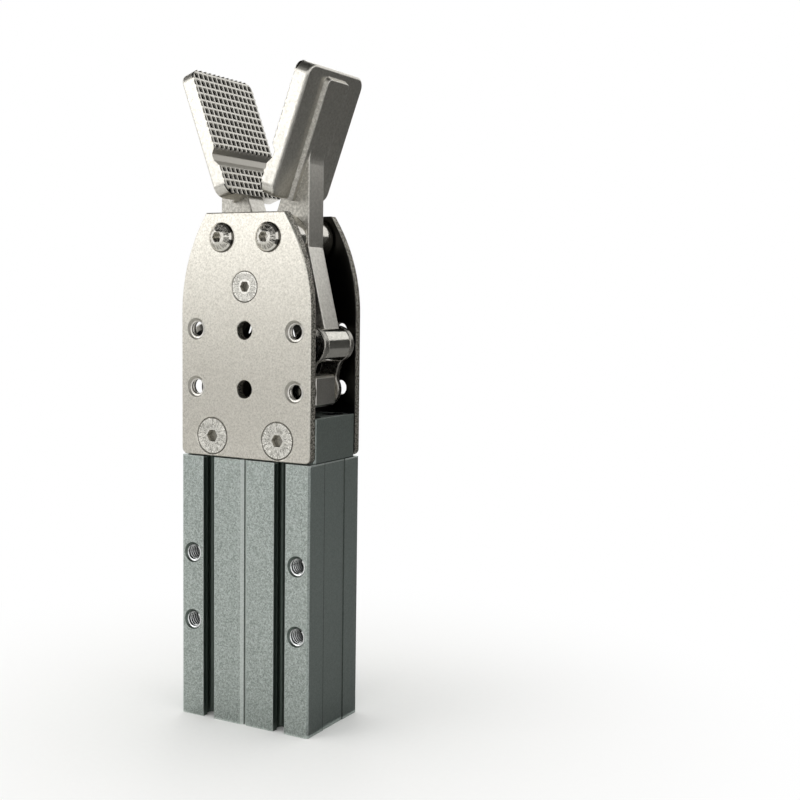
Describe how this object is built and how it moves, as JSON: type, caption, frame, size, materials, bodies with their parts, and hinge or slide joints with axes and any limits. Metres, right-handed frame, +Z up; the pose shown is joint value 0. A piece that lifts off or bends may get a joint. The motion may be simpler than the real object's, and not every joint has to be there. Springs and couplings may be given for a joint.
{
  "type": "angular pneumatic gripper",
  "caption": "Slim angular air gripper: a piston in a slotted body drives toothed jaw levers that pivot between two side plates, shown open.",
  "frame": {"origin": "centre of the bounding box's bottom, on the cylinder body's lower end face", "axes": "+Z runs up the cylinder towards the jaws, +X runs across the width in the plane the jaws swing in, and -Y is the front plate's side"},
  "size_m": [0.0424, 0.0282, 0.1689],
  "materials": {
    "anodised_body": "grey-green hard anodised, sand-blasted grain",
    "plated_steel": "satin nickel plate",
    "plated_casting": "nickel-plated casting, slightly grainy",
    "bright_screw": "bright nickel-plated screw",
    "dark_screw": "blackened steel",
    "dark_steel": "dark machined steel",
    "link_steel": "stamped steel, dull nickel",
    "ground_steel": "ground steel",
    "chromed_rod": "hard chromed",
    "plain_aluminium": "turned aluminium",
    "spring_wire": "drawn spring wire",
    "bronze": "sintered bronze",
    "rubber": "black nitrile rubber",
    "guide_plastic": "natural plastic",
    "magnet": "plastic-bonded magnet"
  },
  "bodies": {
    "housing": {"cylinder_body": "anodised_body", "end_cap": "plain_aluminium", "end_cap_o_ring": "rubber", "retaining_ring": "dark_screw", "end_bumper": "rubber", "return_spring": "spring_wire", "cylinder_head": "anodised_body", "head_o_ring": "rubber", "rod_bush": "bronze", "rod_wiper": "rubber", "head_screws": "dark_screw", "front_side_plate": "plated_steel", "back_side_plate": "plated_steel", "foot_screws": "bright_screw", "spacer_post": "ground_steel", "post_screws": "bright_screw", "right_pivot_shaft": "ground_steel", "left_pivot_shaft": "ground_steel", "pivot_screws": "bright_screw", "thrust_washers": "bronze"},
    "piston_and_crosshead": {"piston": "plain_aluminium", "piston_wear_ring": "guide_plastic", "piston_magnet": "magnet", "piston_seal": "rubber", "piston_nut": "dark_screw", "piston_rod": "chromed_rod", "crosshead": "dark_steel", "crosshead_nut": "dark_screw", "crosshead_pins": "ground_steel", "crosshead_pin_clips": "dark_screw"},
    "right_jaw": {"right_lever": "plated_casting", "right_lever_bushes": "bronze"},
    "left_jaw": {"left_lever": "plated_casting", "left_lever_bushes": "bronze"},
    "right_links": {"right_front_link": "link_steel", "right_back_link": "link_steel", "right_link_pin": "ground_steel", "right_link_pin_clips": "dark_screw"},
    "left_links": {"left_front_link": "link_steel", "left_back_link": "link_steel", "left_link_pin": "ground_steel", "left_link_pin_clips": "dark_screw"}
  },
  "joints": [
    {"name": "piston_slide", "type": "slide", "parent": "housing", "child": "piston_and_crosshead", "axis": [0, 0, 1], "range_m": [0, 0.01384], "stiffness_N_per_m": 600, "springref_m": -0.012, "deforming": ["return_spring"]},
    {"name": "right_jaw_hinge", "type": "hinge", "parent": "housing", "child": "right_jaw", "pos_m": [0.00715, 0, 0.1261], "axis": [0, 1, 0], "range_deg": [-20.4, 0]},
    {"name": "left_jaw_hinge", "type": "hinge", "parent": "housing", "child": "left_jaw", "pos_m": [-0.00715, 0, 0.1261], "axis": [0, 1, 0], "range_deg": [0, 20.4]},
    {"name": "right_link_hinge", "type": "hinge", "parent": "piston_and_crosshead", "child": "right_links", "pos_m": [0.0132, 0, 0.0874], "axis": [0, 1, 0], "range_deg": [0, 61.04]},
    {"name": "left_link_hinge", "type": "hinge", "parent": "piston_and_crosshead", "child": "left_links", "pos_m": [-0.0132, 0, 0.0874], "axis": [0, 1, 0], "range_deg": [-61.04, 0]}
  ],
  "couplings": [
    {"joint": "right_jaw_hinge", "follows": "piston_slide", "rad_per_m": -25.719},
    {"joint": "left_jaw_hinge", "follows": "piston_slide", "rad_per_m": 25.719},
    {"joint": "right_link_hinge", "follows": "piston_slide", "rad_per_m": 76.959},
    {"joint": "left_link_hinge", "follows": "piston_slide", "rad_per_m": -76.959}
  ]
}
